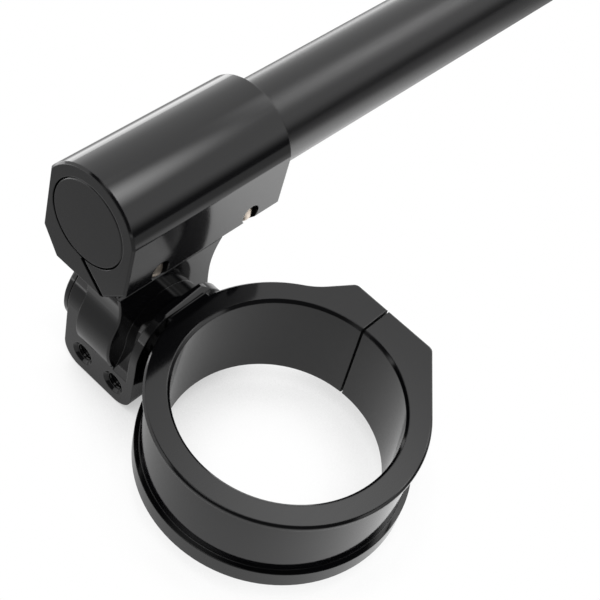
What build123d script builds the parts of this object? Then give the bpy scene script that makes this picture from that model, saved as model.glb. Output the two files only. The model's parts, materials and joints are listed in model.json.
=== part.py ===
"""Adjustable clip-on handlebar: a split fork ring, a bracket on its spigot and a straight bar.

Millimetres. +Z runs up the fork leg, +X along the bar's plan direction towards its grip end, +Y from the
fork leg to the bar. The origin is the centre of the fork ring's bore, halfway up the ring.
"""
from build123d import *
from math import acos, atan2, cos, hypot, radians, sin, sqrt, tan
import os

# Fork ring
FORK_DIAMETER = 53.0
RING_HEIGHT = 26.5
RING_LIP_WALL = 6.0         # bore to the lip under the top face
RING_WALL = 4.9             # bore to the recessed outer wall
RING_FLANGE_WALL = 6.2      # bore to the lower flange
RING_LIP_HEIGHT = 1.3
RING_FLANGE_HEIGHT = 5.5
RING_EDGE_BREAK = 0.5
RING_BORE_CHAMFER = 0.7

# Pinch lug of the fork ring
LUG_WALL = 9.4              # bore to the lug's flat
LUG_HALF_WIDTH = 12.0
LUG_CORNER_RADIUS = 1.8
LUG_SHOULDER_ANGLE = 34.0   # of the short flank, from the X axis
LUG_SHOULDER_BLEND = 18.0   # radius from the short flank into the ring's lip
RING_SLIT_WIDTH = 0.6
RING_SLIT_OFFSET = 1.8      # the slit lies this far to the bar's side
RING_SCREW_SPACING = 12.0
RING_SCREW_INSET = 5.1      # of the screws' axes, behind the lug's flat

# Pad and spigot on the fork ring
PAD_WALL = 6.5              # bore to the pad's flat
PAD_HALF_WIDTH = 6.0
SPIGOT_DIAMETER = 16.0
SPIGOT_RISE = 0.5
RUNNING_GAP = 0.2           # pad to the bracket's sleeve, and sleeve to the cap

# Sleeve of the bracket, with its pinch foot
SLEEVE_LENGTH = 23.6
SLEEVE_WALL = 6.05
SLEEVE_FIT = 0.05
SLEEVE_SLIT_WIDTH = 1.6
COLLAR_LENGTH = 2.3         # of the sleeve in front of its groove
GROOVE_WIDTH = 4.6          # from the collar to the neck
GROOVE_WALL = 2.95          # bore to the groove's floor
GROOVE_END_DROP = 9.0       # below the spigot's axis, where the groove runs out
FOOT_OUTER_REACH = 19.5
FOOT_SHELF_DROP = 10.5      # below the spigot's axis
FOOT_DROP = 19.6
FOOT_CORNER_RADIUS = 5.5
FOOT_SCREW_SPACING = 10.8
FOOT_SCREW_DROP = 13.8
FOOT_HEAD_RECESS = 0.8      # of the screw heads, inside the outer face
FOOT_MOUTH = 0.8            # chamfer of the tapped holes in the inner face

# Neck of the bracket
NECK_THICKNESS = 11.4
NECK_HUB_WALL = 8.45        # sleeve's bore to the neck's round hub
NECK_INNER_WAIST = 14.0
NECK_INNER_BEND = 8.0       # radius from the waist into the hub
NECK_INNER_HEAD = 16.6
NECK_OUTER_WAIST = 15.4
NECK_WAIST_RISE = 7.8       # of the outer waist, above the spigot's axis
NECK_OUTER_HEAD = 24.4
NECK_EDGE_BREAK = 0.4
NECK_ROOT = 2.0             # of the neck, inside the bar clamp and the foot

# Bar and its clamp
BAR_DIAMETER = 22.0
BAR_LENGTH = 280.0
BAR_WALL = 3.0
BAR_SETBACK = 9.65          # neck's front face to the bar's axis, along Y
BAR_RISE = 38.7             # height of the bar's inner end
BAR_INNER_END = 17.45       # the bar starts this far before the fork axis
BAR_DROOP = 3.3             # degrees below level towards the grip
BAR_FIT = 0.05
BAR_EDGE_BREAK = 0.5
CLAMP_LENGTH = 49.0
CLAMP_WALL = 3.3
CLAMP_NEAR_INSET = 0.5      # of the flat on the fork's side, inside the round top
CLAMP_FAR_INSET = 1.5       # of the flat on the other side
CLAMP_FLOOR = 6.8           # bore to the underside
CLAMP_NEAR_BEVEL = 6.6
CLAMP_FAR_BEVEL_RUN = 5.2
CLAMP_EDGE_BREAK = 0.5
CLAMP_SLIT_WIDTH = 1.2
CLAMP_SLIT_ANGLE = 39.0     # below level, towards the fork
CLAMP_SCREW_SPACING = 28.4
CLAMP_SCREW_ANGLE = 20.0    # of the screws, below level
CLAMP_SCREW_DROP = 9.4      # below the bar's axis, where the screw leaves the near flat
CLAMP_SCREW_GRIP = 18.3     # near flat to the head's seat, along the screw

# Plug in the bar's inner end
PLUG_FLANGE = 1.5
PLUG_DEPTH = 12.0
PLUG_SEAT_WALL = 2.4        # tube wall round the plug
PLUG_FIT = 0.03

# Cap on the spigot's end
CAP_THICKNESS = 1.6
CAP_EDGE_BREAK = 0.4

# Screws: thread diameter, head diameter, head height, socket width
M5 = (5.0, 8.5, 5.0, 4.0)
M6_FLAT = (6.0, 12.0, 3.3, 4.0)
THREAD_FIT = 0.05
CLEARANCE = 0.25            # radial, round a shank that passes through
HEAD_CLEARANCE = 0.25
TIP_SETBACK = 2.4           # screw tips end this far inside their holes
BAR_TIP_SETBACK = 1.0       # the same for the bar's screws
SOCKET_DEPTH_SHARE = 0.5    # of the head's height
SPIGOT_SCREW_LENGTH = 14.0
TAP_RUNOUT = 3.0
OVERCUT = 1.0               # of a cutter, past the face that it leaves by

# Worked-out places
BORE_R = FORK_DIAMETER / 2
LIP_R = BORE_R + RING_LIP_WALL
WALL_R = BORE_R + RING_WALL
FLANGE_R = BORE_R + RING_FLANGE_WALL
LUG_X = BORE_R + LUG_WALL
PAD_Y = BORE_R + PAD_WALL
TOP_Z = RING_HEIGHT / 2
SPIGOT_R = SPIGOT_DIAMETER / 2
SLEEVE_FRONT = PAD_Y + RUNNING_GAP
SLEEVE_REAR = SLEEVE_FRONT + SLEEVE_LENGTH
SLEEVE_BORE_R = SPIGOT_R + SLEEVE_FIT
SLEEVE_R = SLEEVE_BORE_R + SLEEVE_WALL
GROOVE_R = SLEEVE_BORE_R + GROOVE_WALL
HUB_R = SLEEVE_BORE_R + NECK_HUB_WALL
NECK_FRONT = SLEEVE_FRONT + COLLAR_LENGTH + GROOVE_WIDTH
SPIGOT_END = SLEEVE_REAR + RUNNING_GAP
BAR_R = BAR_DIAMETER / 2
CLAMP_R = BAR_R + BAR_FIT + CLAMP_WALL
CLAMP_UNDERSIDE = BAR_R + BAR_FIT + CLAMP_FLOOR
BAR_FRAME = Pos(-BAR_INNER_END, NECK_FRONT + BAR_SETBACK, BAR_RISE) * Rot(0, BAR_DROOP, 0)
ALONG_Y = Rot(-90, 0, 0)    # turns +Z to +Y
ALONG_X = Rot(0, 90, 0)     # turns +Z to +X
SLEEVE_PLACE = Pos(0, SLEEVE_FRONT + SLEEVE_LENGTH / 2, SPIGOT_RISE)


def drill(radius, start, end):
    """Cylinder along Z between two heights."""
    return Pos(0, 0, (start + end) / 2) * Cylinder(radius, abs(end - start))


def socket_screw(size, length):
    """Cap screw along +Z: the head's underside at 0, the head above it, the thread below."""
    thread, head, height, socket = size
    shank = drill(thread / 2 - THREAD_FIT, -length, 0)
    cap = drill(head / 2, 0, height)
    depth = height * SOCKET_DEPTH_SHARE
    hexagon = extrude(RegularPolygon(socket / 2, 6, major_radius=False), depth)
    return shank + cap - Pos(0, 0, height - depth) * hexagon


def flat_screw(size, length):
    """Countersunk screw along +Z, its flat top at 0 and its thread below."""
    thread, head, height, socket = size
    radius = thread / 2 - THREAD_FIT
    shank = drill(radius, -length, 0)
    cone = Pos(0, 0, -height / 2) * Cone(radius, head / 2, height)
    depth = height * SOCKET_DEPTH_SHARE
    hexagon = extrude(RegularPolygon(socket / 2, 6, major_radius=False), depth)
    return shank + cone - Pos(0, 0, -depth) * hexagon


def countersink():
    """Cone for the cap's screw, its mouth at 0."""
    thread, head, height, _ = M6_FLAT
    return Pos(0, 0, -height / 2) * Cone(thread / 2, head / 2 + THREAD_FIT, height)


def screw_hole(size, clear, through, head_room):
    """Hole for a cap screw at its seat: clear, then tapped to the far face, with room for the head."""
    thread, head, _, _ = size
    hole = drill(thread / 2 + CLEARANCE, 0, -clear)
    hole += drill(thread / 2, -clear, -through)
    return hole + drill(head / 2 + HEAD_CLEARANCE, 0, head_room)


def mouth(radius, size, height):
    """Chamfer cone for a hole's mouth, opening upwards at the given height."""
    return Pos(0, 0, height) * Cone(radius, radius + 2 * size, 2 * size)


# Fork ring

CAP_PLACE = Pos(0, SPIGOT_END + CAP_THICKNESS, SPIGOT_RISE) * ALONG_Y
RING_SCREW_X = LUG_X - RING_SCREW_INSET
RING_SCREW_HEIGHTS = {"upper": RING_SCREW_SPACING / 2, "lower": -RING_SCREW_SPACING / 2}


def lug_flank_end():
    """Point where the long flank touches the ring's lip."""
    turn = atan2(-LUG_HALF_WIDTH, LUG_X) - acos(LIP_R / hypot(LUG_X, LUG_HALF_WIDTH))
    return LIP_R * cos(turn), LIP_R * sin(turn)


def lug_flank_y(x):
    """Y of the long flank at x."""
    end_x, end_y = lug_flank_end()
    return -LUG_HALF_WIDTH + (end_y + LUG_HALF_WIDTH) * (LUG_X - x) / (LUG_X - end_x)


def lug_shoulder_y(x):
    """Y of the short flank at x."""
    return LUG_HALF_WIDTH + (LUG_X - x) * tan(radians(LUG_SHOULDER_ANGLE))


RING_HEAD_SEAT = lug_flank_y(RING_SCREW_X + M5[1] / 2) + M5[2]
RING_SCREW_TIP = lug_shoulder_y(RING_SCREW_X) - TIP_SETBACK


def ring_screw_place(height):
    """Frame of a ring screw: its head's underside at the seat, its head towards -Y."""
    return Pos(RING_SCREW_X, RING_HEAD_SEAT, height) * Rot(90, 0, 0)


def lug_shoulder_blend():
    """Points where the blend leaves the short flank and where it touches the ring's lip."""
    lean = radians(LUG_SHOULDER_ANGLE)
    level = LUG_X * sin(lean) + LUG_HALF_WIDTH * cos(lean)
    reach = LIP_R + LUG_SHOULDER_BLEND
    along = sqrt(reach**2 - (level + LUG_SHOULDER_BLEND) ** 2)
    start = Vector(level * sin(lean) + along * cos(lean), level * cos(lean) - along * sin(lean))
    centre = start + LUG_SHOULDER_BLEND * Vector(sin(lean), cos(lean))
    return start, centre * (LIP_R / reach)


def ring_plan():
    """Plan of the lug and the pad, before the bore is cut."""
    blend_start, blend_end = lug_shoulder_blend()
    outline = Polyline(
        blend_end, (0, 0), lug_flank_end(), (LUG_X, -LUG_HALF_WIDTH), (LUG_X, LUG_HALF_WIDTH), blend_start)
    blend = TangentArc(blend_start, blend_end, tangent=blend_start - Vector(LUG_X, LUG_HALF_WIDTH))
    lug = make_face(outline + blend)
    tips = lug.vertices().group_by(Axis.X)[-1]
    lug = fillet(tips, LUG_CORNER_RADIUS)
    pad = Pos(0, PAD_Y / 2) * Rectangle(2 * PAD_HALF_WIDTH, PAD_Y)
    return lug + pad


def make_fork_clamp():
    """Split ring with recessed wall, lower flange, pinch lug, pad and spigot."""
    flange_top = -TOP_Z + RING_FLANGE_HEIGHT
    lip_bottom = TOP_Z - RING_LIP_HEIGHT
    relief = LIP_R - WALL_R
    wall = make_face(Polyline(
        (0, -TOP_Z), (FLANGE_R - RING_EDGE_BREAK, -TOP_Z), (FLANGE_R, -TOP_Z + RING_EDGE_BREAK),
        (FLANGE_R, flange_top), (WALL_R, flange_top), (WALL_R, lip_bottom - relief), (LIP_R, lip_bottom),
        (LIP_R, TOP_Z - RING_EDGE_BREAK), (LIP_R - RING_EDGE_BREAK, TOP_Z), (0, TOP_Z), (0, -TOP_Z)))
    ring = revolve(Plane.XZ * wall, Axis.Z)
    lugs = Pos(0, 0, -TOP_Z) * extrude(ring_plan(), RING_HEIGHT)
    lugs = chamfer(lugs.edges().group_by(Axis.Z)[-1], RING_EDGE_BREAK)
    spigot_length = SPIGOT_END - BORE_R
    spigot = Pos(0, BORE_R + spigot_length / 2, SPIGOT_RISE) * ALONG_Y
    spigot *= Cylinder(SPIGOT_R, spigot_length)
    body = ring + lugs + spigot
    bore = Cylinder(BORE_R, RING_HEIGHT)
    lead = mouth(BORE_R, RING_BORE_CHAMFER, TOP_Z)
    bore += lead + Rot(180, 0, 0) * lead
    body -= bore
    slit_length = LUG_X - BORE_R / 2
    body -= Pos(LUG_X, RING_SLIT_OFFSET, 0) * Box(2 * slit_length, RING_SLIT_WIDTH, 2 * RING_HEIGHT)
    to_slit = RING_SLIT_OFFSET - RING_HEAD_SEAT
    to_shoulder = lug_shoulder_y(RING_SCREW_X - M5[0]) - RING_HEAD_SEAT
    to_flank = RING_HEAD_SEAT - lug_flank_y(RING_SCREW_X - M5[1])
    for height in RING_SCREW_HEIGHTS.values():
        body -= ring_screw_place(height) * screw_hole(M5, to_slit, to_shoulder, to_flank)
    tap = SPIGOT_SCREW_LENGTH + TAP_RUNOUT
    body -= CAP_PLACE * (drill(M6_FLAT[0] / 2, 0, -tap) + countersink())
    return body


# Bracket

FOOT_MIDDLE = (SLEEVE_FRONT + SLEEVE_REAR) / 2
FOOT_SCREW_PLACES = {
    "front": FOOT_MIDDLE - FOOT_SCREW_SPACING / 2, "rear": FOOT_MIDDLE + FOOT_SCREW_SPACING / 2}
FOOT_SCREW_Z = SPIGOT_RISE - FOOT_SCREW_DROP
FOOT_HEAD_SEAT = FOOT_OUTER_REACH - M5[2] - FOOT_HEAD_RECESS


def foot_screw_place(y):
    """Frame of a hub screw: its head's underside at the seat, its head towards +X."""
    return Pos(FOOT_HEAD_SEAT, y, FOOT_SCREW_Z) * ALONG_X


CLAMP_NEAR = CLAMP_R - CLAMP_NEAR_INSET
CLAMP_FAR = CLAMP_R - CLAMP_FAR_INSET
CLAMP_SCREW_STATIONS = {
    "inner": (CLAMP_LENGTH - CLAMP_SCREW_SPACING) / 2, "outer": (CLAMP_LENGTH + CLAMP_SCREW_SPACING) / 2}


def clamp_screw_place(station):
    """Frame of a bar screw in the bar's frame: seat at 0, head away from the fork and down."""
    across = cos(radians(CLAMP_SCREW_ANGLE))
    down = sin(radians(CLAMP_SCREW_ANGLE))
    y = -CLAMP_NEAR + CLAMP_SCREW_GRIP * across
    z = -CLAMP_SCREW_DROP - CLAMP_SCREW_GRIP * down
    return Pos(station, y, z) * Rot(-90 - CLAMP_SCREW_ANGLE, 0, 0)


def clamp_block():
    """Bar clamp's outer form in the bar's frame: round top, two flats, bevelled underside."""
    near_top = sqrt(CLAMP_R**2 - CLAMP_NEAR**2)
    far_top = sqrt(CLAMP_R**2 - CLAMP_FAR**2)
    base = -CLAMP_UNDERSIDE
    sides = Polyline(
        (-CLAMP_NEAR, near_top), (-CLAMP_NEAR, base + CLAMP_NEAR_BEVEL),
        (-CLAMP_NEAR + CLAMP_NEAR_BEVEL, base), (CLAMP_FAR - CLAMP_FAR_BEVEL_RUN, base),
        (CLAMP_FAR, base + CLAMP_NEAR_BEVEL), (CLAMP_FAR, far_top))
    crown = ThreePointArc((CLAMP_FAR, far_top), (0, CLAMP_R), (-CLAMP_NEAR, near_top))
    section = Plane.YZ * make_face(sides + crown)
    middle = Pos(CLAMP_EDGE_BREAK, 0, 0) * extrude(section, CLAMP_LENGTH - 2 * CLAMP_EDGE_BREAK)
    end = extrude(section, CLAMP_EDGE_BREAK, taper=45)
    far_end = Pos(CLAMP_LENGTH - CLAMP_EDGE_BREAK, 0, 0) * end
    near_end = Pos(CLAMP_EDGE_BREAK, 0, 0) * mirror(end, Plane.YZ)
    return near_end + middle + far_end


def neck():
    """Waisted plate from the sleeve to the bar clamp, round about the spigot, its edges broken."""
    head = BAR_RISE - CLAMP_UNDERSIDE + NECK_ROOT
    shelf = SPIGOT_RISE - FOOT_SHELF_DROP
    # Inner side: the hub, a bend that touches hub and waist, and a hollow up to the bar clamp
    bend_x = -NECK_INNER_WAIST - NECK_INNER_BEND
    bend_z = SPIGOT_RISE + sqrt((HUB_R + NECK_INNER_BEND) ** 2 - bend_x**2)
    share = HUB_R / (HUB_R + NECK_INNER_BEND)
    touch = (bend_x * share, SPIGOT_RISE + (bend_z - SPIGOT_RISE) * share)
    start = (-HUB_R * sqrt(0.5), SPIGOT_RISE - HUB_R * sqrt(0.5))
    hub = ThreePointArc(start, (-HUB_R, SPIGOT_RISE), touch)
    bend = TangentArc((-NECK_INNER_WAIST, bend_z), touch, tangent=(0, -1))
    hollow = TangentArc((-NECK_INNER_WAIST, bend_z), (-NECK_INNER_HEAD, head), tangent=(0, 1))
    # Outer side: one arc from the waist up to the bar clamp, one down to the foot
    waist = (NECK_OUTER_WAIST, SPIGOT_RISE + NECK_WAIST_RISE)
    foot_reach = FOOT_OUTER_REACH - NECK_EDGE_BREAK
    upper = TangentArc(waist, (NECK_OUTER_HEAD, head), tangent=(0, 1))
    lower = TangentArc(waist, (foot_reach, shelf), tangent=(0, -1))
    top = Line((-NECK_INNER_HEAD, head), (NECK_OUTER_HEAD, head))
    root = Polyline((foot_reach, shelf), (foot_reach, shelf - NECK_ROOT), (0, shelf - NECK_ROOT), start)
    profile = make_face(hub + bend + hollow + top + upper + lower + root)
    solid = Pos(0, NECK_FRONT + NECK_THICKNESS, 0) * extrude(Plane.XZ * profile, NECK_THICKNESS)
    curved = [e for e in solid.edges() if e.geom_type == GeomType.CIRCLE]
    return chamfer(curved, NECK_EDGE_BREAK)


def groove():
    """Cut between the collar and the neck: round over the spigot, running out at the foot's sides."""
    side = SLEEVE_R + OVERCUT
    over = Polyline(
        (-SLEEVE_R, -GROOVE_END_DROP), (-side, -GROOVE_END_DROP), (-side, side),
        (side, side), (side, -GROOVE_END_DROP), (SLEEVE_R, -GROOVE_END_DROP))
    floor = ThreePointArc((GROOVE_R, 0), (0, GROOVE_R), (-GROOVE_R, 0))
    inner = TangentArc((-GROOVE_R, 0), (-SLEEVE_R, -GROOVE_END_DROP), tangent=(0, -1))
    outer = TangentArc((GROOVE_R, 0), (SLEEVE_R, -GROOVE_END_DROP), tangent=(0, -1))
    profile = make_face(over + outer + floor + inner)
    return Pos(0, NECK_FRONT, SPIGOT_RISE) * extrude(Plane.XZ * profile, GROOVE_WIDTH)


def sleeve():
    """Sleeve round the spigot and the pinch foot under it, drawn through along Y and grooved."""
    shelf_height = FOOT_DROP - FOOT_SHELF_DROP
    profile = Circle(SLEEVE_R) + Pos(0, -FOOT_DROP / 2) * Rectangle(2 * SLEEVE_R, FOOT_DROP)
    shelf = Pos(FOOT_OUTER_REACH / 2, shelf_height / 2 - FOOT_DROP)
    profile += shelf * Rectangle(FOOT_OUTER_REACH, shelf_height)
    solid = Pos(0, SLEEVE_REAR, SPIGOT_RISE) * extrude(Plane.XZ * profile, SLEEVE_LENGTH)
    low = solid.edges().filter_by(Axis.X).group_by(Axis.Z)[0]
    solid = fillet(low, FOOT_CORNER_RADIUS)
    # The collar ends level with the ring's top face
    spare = SPIGOT_RISE + SLEEVE_R
    ahead = NECK_FRONT - SLEEVE_FRONT
    solid -= Pos(0, NECK_FRONT - ahead, TOP_Z + spare / 2) * Box(2 * SLEEVE_R, 2 * ahead, spare)
    return solid - groove()


def make_bar_clamp():
    """Bracket: bar clamp, neck and sleeve, with both bores, slits and screw holes."""
    body = BAR_FRAME * clamp_block() + neck() + sleeve()
    # Sleeve's bore, slit and screws
    body -= SLEEVE_PLACE * ALONG_Y * Cylinder(SLEEVE_BORE_R, 2 * SLEEVE_LENGTH)
    body -= SLEEVE_PLACE * Pos(0, 0, -FOOT_DROP) * Box(SLEEVE_SLIT_WIDTH, 2 * SLEEVE_LENGTH, 2 * FOOT_DROP)
    through = FOOT_HEAD_SEAT + SLEEVE_R
    hole = screw_hole(M5, FOOT_HEAD_SEAT, through + OVERCUT, M5[2] + FOOT_HEAD_RECESS + OVERCUT)
    hole += Rot(180, 0, 0) * mouth(M5[0] / 2, FOOT_MOUTH, through)
    for y in FOOT_SCREW_PLACES.values():
        body -= foot_screw_place(y) * hole
    # Bar bore, slit and screws
    bore = Pos(CLAMP_LENGTH / 2, 0, 0) * ALONG_X * Cylinder(BAR_R + BAR_FIT, 2 * CLAMP_LENGTH)
    slit_length = BAR_R + 2 * CLAMP_FLOOR
    slit = Pos(0, -slit_length / 2, 0) * Box(2 * CLAMP_LENGTH, slit_length, CLAMP_SLIT_WIDTH)
    slit = Pos(CLAMP_LENGTH / 2, 0, -BAR_R) * Rot(CLAMP_SLIT_ANGLE, 0, 0) * slit
    body -= BAR_FRAME * bore
    body -= BAR_FRAME * slit
    hole = screw_hole(M5, CLAMP_SCREW_GRIP / 2, CLAMP_SCREW_GRIP + M5[0], 2 * CLAMP_UNDERSIDE)
    for station in CLAMP_SCREW_STATIONS.values():
        body -= BAR_FRAME * clamp_screw_place(station) * hole
    return body


# Bar, plug, cap and screws

def make_tube():
    """Straight bar tube with a seat for the plug at its inner end."""
    length = BAR_LENGTH - PLUG_FLANGE
    tube = Pos(0, 0, PLUG_FLANGE + length / 2) * Cylinder(BAR_R, length)
    tube = chamfer(tube.edges().group_by(Axis.Z)[-1], BAR_EDGE_BREAK)
    tube -= Pos(0, 0, BAR_LENGTH / 2) * Cylinder(BAR_R - BAR_WALL, 2 * BAR_LENGTH)
    tube -= drill(BAR_R - PLUG_SEAT_WALL, 0, PLUG_DEPTH)
    return BAR_FRAME * ALONG_X * tube


def make_plug():
    """Turned plug: a flange of the bar's diameter and a shank inside the tube."""
    flange = drill(BAR_R, 0, PLUG_FLANGE)
    flange = chamfer(flange.edges().group_by(Axis.Z)[0], BAR_EDGE_BREAK)
    shank = drill(BAR_R - PLUG_SEAT_WALL - PLUG_FIT, 0, PLUG_DEPTH)
    return BAR_FRAME * ALONG_X * (flange + shank)


def make_cap():
    """Disc on the spigot's end, countersunk for its screw."""
    cap = drill(SLEEVE_R, -CAP_THICKNESS, 0)
    cap = chamfer(cap.edges().group_by(Axis.Z)[-1], CAP_EDGE_BREAK)
    return cap - countersink()


def main():
    """Writes one STEP file for each piece."""
    pieces = {
        "fork_clamp": make_fork_clamp(),
        "bar_clamp": make_bar_clamp(),
        "handlebar_tube": make_tube(),
        "tube_plug": make_plug(),
        "spigot_cap": CAP_PLACE * make_cap(),
        "spigot_cap_screw": CAP_PLACE * flat_screw(M6_FLAT, SPIGOT_SCREW_LENGTH),
    }
    for name, height in RING_SCREW_HEIGHTS.items():
        length = RING_SCREW_TIP - RING_HEAD_SEAT
        pieces[f"fork_pinch_screw_{name}"] = ring_screw_place(height) * socket_screw(M5, length)
    for name, y in FOOT_SCREW_PLACES.items():
        length = FOOT_HEAD_SEAT + SLEEVE_R - TIP_SETBACK
        pieces[f"hub_pinch_screw_{name}"] = foot_screw_place(y) * socket_screw(M5, length)
    for name, station in CLAMP_SCREW_STATIONS.items():
        length = CLAMP_SCREW_GRIP - BAR_TIP_SETBACK
        pieces[f"bar_pinch_screw_{name}"] = BAR_FRAME * clamp_screw_place(station) * socket_screw(M5, length)
    os.makedirs("parts", exist_ok=True)
    for name, piece in pieces.items():
        export_step(piece, f"parts/{name}.step")


main()
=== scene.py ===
"""Looks of the clip-on handlebar: black anodised metal on a white studio floor."""
import json
from math import cos, pi, radians, sin

import bmesh
import bpy
from mathutils import Matrix, Quaternion, Vector

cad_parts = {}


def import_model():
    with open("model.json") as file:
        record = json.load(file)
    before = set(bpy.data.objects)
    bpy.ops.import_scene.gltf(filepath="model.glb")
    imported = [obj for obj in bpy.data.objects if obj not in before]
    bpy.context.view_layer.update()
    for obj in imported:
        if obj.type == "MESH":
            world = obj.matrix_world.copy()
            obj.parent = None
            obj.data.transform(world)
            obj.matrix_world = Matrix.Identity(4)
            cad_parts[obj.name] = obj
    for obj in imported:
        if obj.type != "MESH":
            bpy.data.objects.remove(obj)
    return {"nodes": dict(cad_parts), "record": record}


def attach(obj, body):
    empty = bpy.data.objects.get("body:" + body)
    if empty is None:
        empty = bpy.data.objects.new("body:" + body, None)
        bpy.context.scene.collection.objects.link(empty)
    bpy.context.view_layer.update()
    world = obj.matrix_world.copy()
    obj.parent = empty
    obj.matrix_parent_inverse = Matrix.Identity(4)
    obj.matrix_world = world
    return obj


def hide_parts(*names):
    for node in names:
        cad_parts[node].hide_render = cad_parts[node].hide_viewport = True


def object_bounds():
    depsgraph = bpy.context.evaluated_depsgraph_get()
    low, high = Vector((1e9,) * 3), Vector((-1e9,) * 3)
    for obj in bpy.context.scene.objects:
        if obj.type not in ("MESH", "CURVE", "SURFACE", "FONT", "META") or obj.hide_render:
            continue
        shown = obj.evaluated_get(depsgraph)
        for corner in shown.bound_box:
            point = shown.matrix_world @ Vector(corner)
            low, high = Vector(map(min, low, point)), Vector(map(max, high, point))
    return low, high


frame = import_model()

CAD_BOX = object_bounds()

# Camera, as the photograph was taken
CAMERA_AZIMUTH = radians(-59.19)
CAMERA_ELEVATION = radians(51.46)
CAMERA_ROLL = radians(16.29)
CAMERA_PLACE = Vector((-0.16222, -0.09221, 0.28155))
CAMERA_LENS = 88.59
CAMERA_CLIP = (0.01, 20)

# Floor: the camera sees it white with a painted soft shadow, the metal sees it as a painted pool of
# light
FLOOR_DROP = 0.0005
FLOOR_SIZE = 1.2
FLOOR_GREY = 0.85
FLOOR_ROUGHNESS = 0.9
OCCLUSION_SAMPLES = 8
PAINTED_SHADOW_REACH = 0.025
PAINTED_SHADOW_OPEN = (0.1, 0.75)       # openness at which the painted shadow is full, and at which it ends
PAINTED_SHADOW_WHITE = (0.45, 1.0)      # brightness in the full painted shadow and outside it
# Painted pool of light: the floor's glow that only reflections see, brighter at a middle and towards the
# back
POOL_MIDDLE = (0.065, -0.01, 0)
POOL_EDGE = (0.0, 0.155)        # distance from its middle at which it starts to dim, and ends
PAINTED_POOL_LIGHT = (2.1, 0.45)        # painted brightness at its middle and outside it
PAINTED_POOL_SHADOW = 0.07              # reach of the object's painted shadow in the pool
SWEEP_START = (0.15, 0.24)      # Y from which the painted light on the floor brightens towards the back, and where it is full
PAINTED_SWEEP_LIGHT = 2.9
BACK = (0, 1, 0)

# Room: even for the shading; lit for the metal, but for a dark cap over the camera and a gap in front
ROOM_LEVEL = 0.8
ROOM_DARK = 0.07
ROOM_LIGHT = 1.15
UP = (0, 0, 1)
SHADE_WAY = (-0.450, -0.300, 0.841)
SHADE_EDGE = (0.57, 0.47)       # cosine from the cap's middle at which the light starts, and is full
GAP_WAY = (0.55, -0.835, 0)
GAP_EDGE = (0.35, 0.75)         # cosine from the gap's middle at which it starts, and is full
GAP_HEIGHT = (0.35, 0.02)       # the gap lies low: rise at which it starts, and is full
GLOW_LIGHT = 0.5                # added low down behind the object
GLOW_EDGE = (0.5, 0.9)
GLOW_HEIGHT = (0.4, -0.05)

# Soft panels that the metal sees: way to the middle, half size along the bar and across it, strength
PANEL_CLAMP = (Vector((0.565, -0.21, 0.80)), 0.12, 0.40, 4.3)
PANEL_TUBE = (Vector((0.735, -0.12, 0.667)), 0.115, 0.40, 4.5)
PANEL_RING = (Vector((0.46, 0.21, 0.86)), 0.16, 0.16, 1.3)
PANEL_ABOVE = (Vector((-0.35, 0.1, 0.93)), 0.7, 0.35, 2.2)    # lights the tops in other views
PANEL_ACROSS = Vector((0, -0.945, -0.33))

# Lamp for the shading
LAMP_PLACE = Vector((0.45, -0.15, 0.7))
LAMP_AIM = Vector((0, 0.04, 0.04))
LAMP_SIZE = 0.4
LAMP_POWER = 1.2

# Metals: colour, lowest and highest roughness, strength of the grain
ANODISED_BLACK = ((0.0025, 0.0025, 0.003), (0.06, 0.12), 0.05)
SATIN_BLACK = ((0.004, 0.004, 0.0045), (0.2, 0.3), 0.1)
STAINLESS = ((0.55, 0.48, 0.41), (0.28, 0.4), 0.2)
BLACKENED = ((0.03, 0.03, 0.032), (0.3, 0.42), 0.2)
EDGE_SAMPLES = 6
ANODISED_EDGE = 0.00035         # radius of the softly rounded edges
STEEL_EDGE = ANODISED_EDGE / 2
GRAIN_DEPTH = 0.00002
ANODISED_GRAIN = (9000, 2)      # scale and detail of each noise
STREAKS = (1400, 3)
STREAK_SHRINK = (0.02, 1, 1)    # streaks run along the bar
STEEL_GRAIN = (4000, 2)
SCRATCHES = (900, 3)
SLIT_START = 0.026              # X at which the fork ring's saw cut starts
SLIT_MIDDLE = 0.0018            # Y of its middle
SLIT_HALF = 0.00032
SLIT_FADE = 0.95                # part of the half width, squared, at which the cut's roughness is full
SLIT_ROUGHNESS = 0.9

# Cap screws; their main sizes are those of the solids that they replace
SCREW_SIDES = 60
HEX_SIDES = 6
SHARP_ANGLE = radians(32)
THREAD_RADIUS = 0.00245
THREAD_PITCH = 0.0008
THREAD_DEPTH = 0.00035
THREAD_STEPS = 4                # rings in each turn
THREAD_TURNS = 4                # turns that show at the tip
TIP_CHAMFER = 0.0006
TIP_RISE = TIP_CHAMFER / 3
TIP_FLAT = 0.0012
HEAD_RADIUS = 0.00425
HEAD_HEIGHT = 0.005
HEAD_CHAMFER = 0.0006
HEAD_FOOT = 0.0003              # chamfer under the head
KNURL_DEPTH = 0.00014
SOCKET_WIDTH = 0.004
SOCKET_LEAD = 0.0002            # chamfer of the socket's mouth
SOCKET_DEPTH = 0.0025
SOCKET_POINT = 0.0004           # rise and radius of the socket's floor

# Where the screws sit: their head seats, stations and lengths
BAR_START = (-0.01745, 0.04975, 0.0387)
BAR_DROOP = radians(3.3)
BAR_PLACE = Matrix.Translation(BAR_START) @ Matrix.Rotation(BAR_DROOP, 4, "Y")
BAR_SEAT = (0.003346, -0.015659)
BAR_STATIONS = {"inner": 0.0103, "outer": 0.0387}
BAR_SCREW_TURN = radians(-110)
BAR_SCREW_LENGTH = 0.0173
RING_SEAT = (0.0308, -0.007731)
RING_HEIGHTS = {"upper": 0.006, "lower": -0.006}
RING_SCREW_LENGTH = 0.020771
FOOT_SEAT = (0.0137, -0.0133)
FOOT_STATIONS = {"front": 0.0396, "rear": 0.0504}
FOOT_SCREW_LENGTH = 0.0254
FOOT_THREAD = (-0.0271, -0.0248)    # ends of the thread that shows in the foot's holes
TAP_RADIUS = 0.00255


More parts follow.
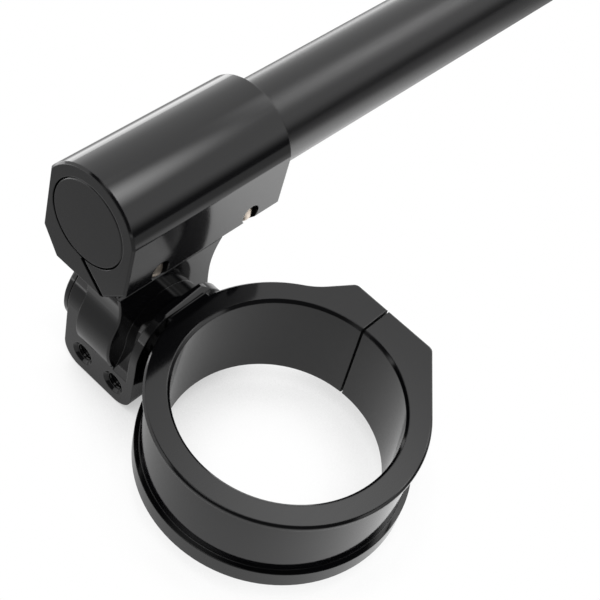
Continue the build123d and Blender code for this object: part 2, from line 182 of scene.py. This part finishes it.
def camera():
    """Camera at the photograph's place, turned and rolled as it was."""
    data = bpy.data.cameras.new("camera")
    data.lens = CAMERA_LENS
    data.clip_start, data.clip_end = CAMERA_CLIP
    made = bpy.data.objects.new("camera", data)
    back = Vector((
        sin(CAMERA_AZIMUTH) * cos(CAMERA_ELEVATION),
        -cos(CAMERA_AZIMUTH) * cos(CAMERA_ELEVATION),
        sin(CAMERA_ELEVATION)))
    made.rotation_mode = "QUATERNION"
    made.rotation_quaternion = back.to_track_quat("Z", "Y") @ Quaternion((0, 0, 1), CAMERA_ROLL)
    made.location = CAMERA_PLACE
    bpy.context.scene.collection.objects.link(made)
    bpy.context.scene.camera = made


def new_material(name):
    """Node material with its tree and its shader."""
    made = bpy.data.materials.new(name)
    made.use_nodes = True
    return made, made.node_tree, made.node_tree.nodes["Principled BSDF"]


def node(tree, kind, **links):
    """A new node, its named inputs linked or set."""
    made = tree.nodes.new("ShaderNode" + kind)
    for name, value in links.items():
        socket = made.inputs[name.replace("_", " ")]
        if isinstance(value, bpy.types.NodeSocket):
            tree.links.new(value, socket)
        else:
            socket.default_value = value
    return made


def worked(tree, operation, first, second):
    """One value worked out from two."""
    made = node(tree, "Math")
    made.operation = operation
    tree.links.new(first, made.inputs[0])
    tree.links.new(second, made.inputs[1])
    return made.outputs[0]


def measured(tree, operation, first, second):
    """A vector's distance from a fixed point, or its part along a fixed way."""
    made = node(tree, "VectorMath")
    made.operation = operation
    tree.links.new(first, made.inputs[0])
    made.inputs[1].default_value = second
    return made.outputs["Value"]


def ramp(tree, source, low, high):
    """Maps a 0 to 1 value to a range."""
    return node(tree, "MapRange", Value=source, To_Min=low, To_Max=high).outputs["Result"]


def step(tree, source, start, end):
    """Smooth step from 0 at start to 1 at end."""
    made = node(tree, "MapRange", Value=source, From_Min=start, From_Max=end)
    made.interpolation_type = "SMOOTHSTEP"
    return made.outputs["Result"]


def noise(tree, place, scale, detail):
    """Noise from 0 to 1 over the given coordinates."""
    return node(tree, "TexNoise", Vector=place, Scale=scale, Detail=detail).outputs["Fac"]


def occlusion(tree, reach):
    """How open the place is within a reach, from 0 to 1."""
    made = node(tree, "AmbientOcclusion", Distance=reach)
    made.samples = OCCLUSION_SAMPLES
    return made.outputs["AO"]


def finished(tree, shader, roughness, edge_radius, grain, height):
    """Gives a shader its roughness, softly rounded edges and a fine grain."""
    tree.links.new(roughness, shader.inputs["Roughness"])
    edge = node(tree, "Bevel", Radius=edge_radius)
    edge.samples = EDGE_SAMPLES
    bump = node(tree, "Bump", Strength=grain, Distance=GRAIN_DEPTH, Height=height,
                Normal=edge.outputs["Normal"])
    tree.links.new(bump.outputs["Normal"], shader.inputs["Normal"])


def anodised(name, colour, rough, grain, slit=False):
    """Black anodised metal with streaks along the bar, and the rough saw cut where it is asked for."""
    made, tree, shader = new_material(name)
    place = node(tree, "TexCoord").outputs["Object"]
    shader.inputs["Base Color"].default_value = (*colour, 1)
    drawn = node(tree, "Mapping", Vector=place, Scale=STREAK_SHRINK).outputs["Vector"]
    roughness = ramp(tree, noise(tree, drawn, *STREAKS), *rough)
    if slit:
        roughness = worked(tree, "MAXIMUM", roughness, saw_cut(tree, place))
    finished(tree, shader, roughness, ANODISED_EDGE, grain, noise(tree, place, *ANODISED_GRAIN))
    return made


def saw_cut(tree, place):
    """Roughness of the fork ring's slit, and 0 outside it."""
    split = node(tree, "SeparateXYZ", Vector=place).outputs
    outside = node(tree, "MapRange", Value=split["X"],
                   From_Min=SLIT_START, From_Max=SLIT_START + SLIT_HALF).outputs["Result"]
    across = node(tree, "MapRange", Value=split["Y"], From_Min=SLIT_MIDDLE - SLIT_HALF,
                  From_Max=SLIT_MIDDLE + SLIT_HALF, To_Min=-1, To_Max=1).outputs["Result"]
    within = node(tree, "MapRange", Value=worked(tree, "MULTIPLY", across, across),
                  From_Min=1, From_Max=SLIT_FADE, To_Max=SLIT_ROUGHNESS).outputs["Result"]
    return worked(tree, "MULTIPLY", outside, within)


def steel(name, colour, rough, grain):
    """Bare steel with fine scratches."""
    made, tree, shader = new_material(name)
    place = node(tree, "TexCoord").outputs["Object"]
    shader.inputs["Base Color"].default_value = (*colour, 1)
    shader.inputs["Metallic"].default_value = 1
    roughness = ramp(tree, noise(tree, place, *SCRATCHES), *rough)
    finished(tree, shader, roughness, STEEL_EDGE, grain, noise(tree, place, *STEEL_GRAIN))
    return made


def materials():
    """The record's material slots, each with its look."""
    return {
        "black_anodised": anodised("black_anodised", *ANODISED_BLACK, slit=True),
        "bar_black": anodised("bar_black", *SATIN_BLACK),
        "stainless_steel": steel("stainless_steel", *STAINLESS),
        "black_steel": steel("black_steel", *BLACKENED)}


def dress(looks):
    """Gives each CAD node its material."""
    for part in frame["record"]["subparts"]:
        piece = frame["nodes"][part["node"]]
        piece.data.materials.clear()
        piece.data.materials.append(looks[part["material_slot"]])


def round_ring(radius):
    """Radii of a plain round ring."""
    return [radius] * SCREW_SIDES


def knurl_ring(radius):
    """Radii of a straight-knurled ring."""
    return [radius - KNURL_DEPTH * (side % 2) for side in range(SCREW_SIDES)]


def hex_ring(width):
    """Radii of a hexagon with the given width across its flats."""
    flat = SCREW_SIDES // HEX_SIDES
    turns = [((side % flat) / flat - 0.5) * 2 * pi / HEX_SIDES for side in range(SCREW_SIDES)]
    return [width / 2 / cos(turn) for turn in turns]


def thread_rings(radius, start, end):
    """Rings of a helical thread, whose crests reach the radius."""
    count = round(abs(end - start) / THREAD_PITCH * THREAD_STEPS)
    rings = []
    for ring in range(count + 1):
        height = start + (end - start) * ring / count
        phases = [(height / THREAD_PITCH - side / SCREW_SIDES) % 1 for side in range(SCREW_SIDES)]
        rings.append((height, [radius - THREAD_DEPTH * abs(2 * phase - 1) for phase in phases]))
    return rings


def turned(name, rings, place, look, closed):
    """Piece made of rings of points round its axis, capped at both ends or closed on itself."""
    shape = bmesh.new()
    turns = [2 * pi * side / SCREW_SIDES for side in range(SCREW_SIDES)]
    loops = []
    for height, radii in rings:
        loops.append([shape.verts.new((r * cos(t), r * sin(t), height)) for r, t in zip(radii, turns)])
    pairs = list(zip(loops, loops[1:]))
    if closed:
        pairs.append((loops[-1], loops[0]))
    else:
        shape.faces.new(reversed(loops[0]))
        shape.faces.new(loops[-1])
    for low, high in pairs:
        for side in range(SCREW_SIDES):
            after = (side + 1) % SCREW_SIDES
            shape.faces.new((low[side], low[after], high[after], high[side]))
    bmesh.ops.recalc_face_normals(shape, faces=shape.faces)
    mesh = bpy.data.meshes.new(name)
    shape.to_mesh(mesh)
    shape.free()
    mesh.polygons.foreach_set("use_smooth", [True] * len(mesh.polygons))
    mesh.set_sharp_from_angle(angle=SHARP_ANGLE)
    mesh.materials.append(look)
    made = bpy.data.objects.new(name, mesh)
    made.matrix_world = place
    bpy.context.scene.collection.objects.link(made)
    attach(made, "root")
    return made


def cap_screw(stands_for, place, length, slot, looks):
    """Socket cap screw: knurled head, hexagon socket and a threaded, chamfered tip."""
    thread_start = -length + TIP_CHAMFER
    thread_end = thread_start + THREAD_TURNS * THREAD_PITCH
    rings = [
        (-length, round_ring(TIP_FLAT)),
        (-length + TIP_RISE, round_ring(THREAD_RADIUS - TIP_CHAMFER))]
    rings += thread_rings(THREAD_RADIUS, thread_start, thread_end)
    rings += [
        (thread_end + THREAD_PITCH, round_ring(THREAD_RADIUS)),
        (0, round_ring(THREAD_RADIUS)),
        (0, round_ring(HEAD_RADIUS - KNURL_DEPTH - HEAD_FOOT)),
        (HEAD_FOOT, knurl_ring(HEAD_RADIUS)),
        (HEAD_HEIGHT - HEAD_CHAMFER, knurl_ring(HEAD_RADIUS)),
        (HEAD_HEIGHT, round_ring(HEAD_RADIUS - HEAD_CHAMFER)),
        (HEAD_HEIGHT, hex_ring(SOCKET_WIDTH + 2 * SOCKET_LEAD)),
        (HEAD_HEIGHT - SOCKET_LEAD, hex_ring(SOCKET_WIDTH)),
        (HEAD_HEIGHT - SOCKET_DEPTH + SOCKET_POINT, hex_ring(SOCKET_WIDTH)),
        (HEAD_HEIGHT - SOCKET_DEPTH, round_ring(SOCKET_POINT))]
    made = turned(stands_for + "_detail", rings, place, looks[slot], closed=False)
    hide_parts(stands_for)


def tapped_thread(name, place, looks):
    """Thread that shows in the mouth of a tapped hole."""
    rings = thread_rings(THREAD_RADIUS, *FOOT_THREAD)
    rings += [(FOOT_THREAD[1], round_ring(TAP_RADIUS)), (FOOT_THREAD[0], round_ring(TAP_RADIUS))]
    made = turned(name, rings, place, looks["black_anodised"], closed=True)


def fasteners(looks):
    """Detailed screws in place of the plain ones, and the thread in the foot's holes."""
    for name, height in RING_HEIGHTS.items():
        place = Matrix.Translation((*RING_SEAT, height)) @ Matrix.Rotation(pi / 2, 4, "X")
        cap_screw("fork_pinch_screw_" + name, place, RING_SCREW_LENGTH, "black_steel", looks)
    for name, station in FOOT_STATIONS.items():
        seat = Matrix.Translation((FOOT_SEAT[0], station, FOOT_SEAT[1]))
        place = seat @ Matrix.Rotation(pi / 2, 4, "Y")
        cap_screw("hub_pinch_screw_" + name, place, FOOT_SCREW_LENGTH, "black_steel", looks)
        tapped_thread("foot_thread_" + name, place, looks)
    for name, station in BAR_STATIONS.items():
        seat = BAR_PLACE @ Matrix.Translation((station, *BAR_SEAT))
        place = seat @ Matrix.Rotation(BAR_SCREW_TURN, 4, "X")
        cap_screw("bar_pinch_screw_" + name, place, BAR_SCREW_LENGTH, "stainless_steel", looks)


def floor():
    """White floor with a painted shadow round the object; the metal sees it as a painted pool of light.
    """
    bpy.ops.mesh.primitive_plane_add(size=FLOOR_SIZE, location=(0, 0, CAD_BOX[0].z - FLOOR_DROP))
    made = bpy.context.object
    made.name = "floor"
    look, tree, shader = new_material("floor_white_painted_light")
    shader.inputs["Base Color"].default_value = (FLOOR_GREY, FLOOR_GREY, FLOOR_GREY, 1)
    shader.inputs["Roughness"].default_value = FLOOR_ROUGHNESS
    shader.inputs["Specular IOR Level"].default_value = 0
    path = node(tree, "LightPath").outputs
    place = node(tree, "TexCoord").outputs["Object"]
    # Camera rays: white, with a painted soft shadow round the object, darker where the object closes the
    # floor in
    white = ramp(tree, step(tree, occlusion(tree, PAINTED_SHADOW_REACH), *PAINTED_SHADOW_OPEN), *PAINTED_SHADOW_WHITE)
    # Glossy rays: a painted pool of light, bright at its middle and at the back, dim elsewhere, with
    # painted shadow under the object
    reach = measured(tree, "DISTANCE", place, POOL_MIDDLE)
    pool = ramp(tree, step(tree, reach, *POOL_EDGE), *PAINTED_POOL_LIGHT)
    back = measured(tree, "DOT_PRODUCT", place, BACK)
    pool = worked(tree, "ADD", pool, ramp(tree, step(tree, back, *SWEEP_START), 0, PAINTED_SWEEP_LIGHT))
    # Painted shadow: the pool darkens where the object closes the floor in
    pool = worked(tree, "MULTIPLY", pool, occlusion(tree, PAINTED_POOL_SHADOW))
    light = worked(tree, "ADD", worked(tree, "MULTIPLY", path["Is Camera Ray"], white),
                   worked(tree, "MULTIPLY", path["Is Glossy Ray"], pool))
    # All other rays: the plain white floor lights the object
    seen = worked(tree, "MAXIMUM", path["Is Camera Ray"], path["Is Glossy Ray"])
    mix = node(tree, "MixShader", Fac=seen)
    tree.links.new(shader.outputs[0], mix.inputs[1])
    tree.links.new(node(tree, "Emission", Strength=light).outputs[0], mix.inputs[2])
    tree.links.new(mix.outputs[0], tree.nodes["Material Output"].inputs["Surface"])
    made.data.materials.append(look)


def panel(tree, way, middle, half_along, half_across, strength):
    """Light of a soft-edged panel, seen in the given direction."""
    middle = middle.normalized()
    across = (PANEL_ACROSS - PANEL_ACROSS.dot(middle) * middle).normalized()
    beside = measured(tree, "DOT_PRODUCT", way, across / half_across)
    beyond = measured(tree, "DOT_PRODUCT", way, middle.cross(across) / half_along)
    away = node(tree, "CombineXYZ", X=beside, Y=beyond).outputs["Vector"]
    return ramp(tree, step(tree, measured(tree, "DISTANCE", away, (0, 0, 0)), 1, 0), 0, strength)


def world():
    """Room: white for the camera, even for the shading, and lit in places for the metal."""
    made = bpy.data.worlds.new("studio")
    made.use_nodes = True
    bpy.context.scene.world = made
    tree = made.node_tree
    way = node(tree, "TexCoord").outputs["Generated"]
    up = measured(tree, "DOT_PRODUCT", way, UP)
    behind = measured(tree, "DOT_PRODUCT", way, (-sin(CAMERA_AZIMUTH), cos(CAMERA_AZIMUTH), 0))
    shade = step(tree, measured(tree, "DOT_PRODUCT", way, SHADE_WAY), *SHADE_EDGE)
    gap = worked(tree, "MULTIPLY", step(tree, measured(tree, "DOT_PRODUCT", way, GAP_WAY), *GAP_EDGE),
                 step(tree, up, *GAP_HEIGHT))
    open_room = worked(tree, "MULTIPLY", shade, ramp(tree, gap, 1, 0))
    room = ramp(tree, open_room, ROOM_DARK, ROOM_LIGHT)
    low = worked(tree, "MULTIPLY", step(tree, behind, *GLOW_EDGE), step(tree, up, *GLOW_HEIGHT))
    room = worked(tree, "ADD", room, ramp(tree, low, 0, GLOW_LIGHT))
    for shape in (PANEL_CLAMP, PANEL_TUBE, PANEL_RING, PANEL_ABOVE):
        room = worked(tree, "ADD", room, panel(tree, way, *shape))
    path = node(tree, "LightPath").outputs
    lit = node(tree, "Mix", Factor=path["Is Glossy Ray"], A=ROOM_LEVEL, B=room).outputs["Result"]
    seen = worked(tree, "MAXIMUM", path["Is Camera Ray"], path["Is Transmission Ray"])
    lit = node(tree, "Mix", Factor=seen, A=lit, B=1).outputs["Result"]
    tree.links.new(lit, tree.nodes["Background"].inputs["Strength"])
    tree.nodes["Background"].inputs["Color"].default_value = (1, 1, 1, 1)


def lamp():
    """Soft lamp for the shading; in the metal its place is taken by the panels."""
    data = bpy.data.lights.new("soft_lamp", "AREA")
    data.shape = "DISK"
    data.size = LAMP_SIZE
    data.energy = LAMP_POWER
    made = bpy.data.objects.new("soft_lamp", data)
    made.visible_glossy = False
    made.location = LAMP_PLACE
    made.rotation_mode = "QUATERNION"
    made.rotation_quaternion = (LAMP_PLACE - LAMP_AIM).to_track_quat("Z", "Y")
    bpy.context.scene.collection.objects.link(made)


camera()
looks = materials()
dress(looks)
fasteners(looks)
floor()
world()
lamp()
bpy.context.scene.view_settings.view_transform = "Standard"
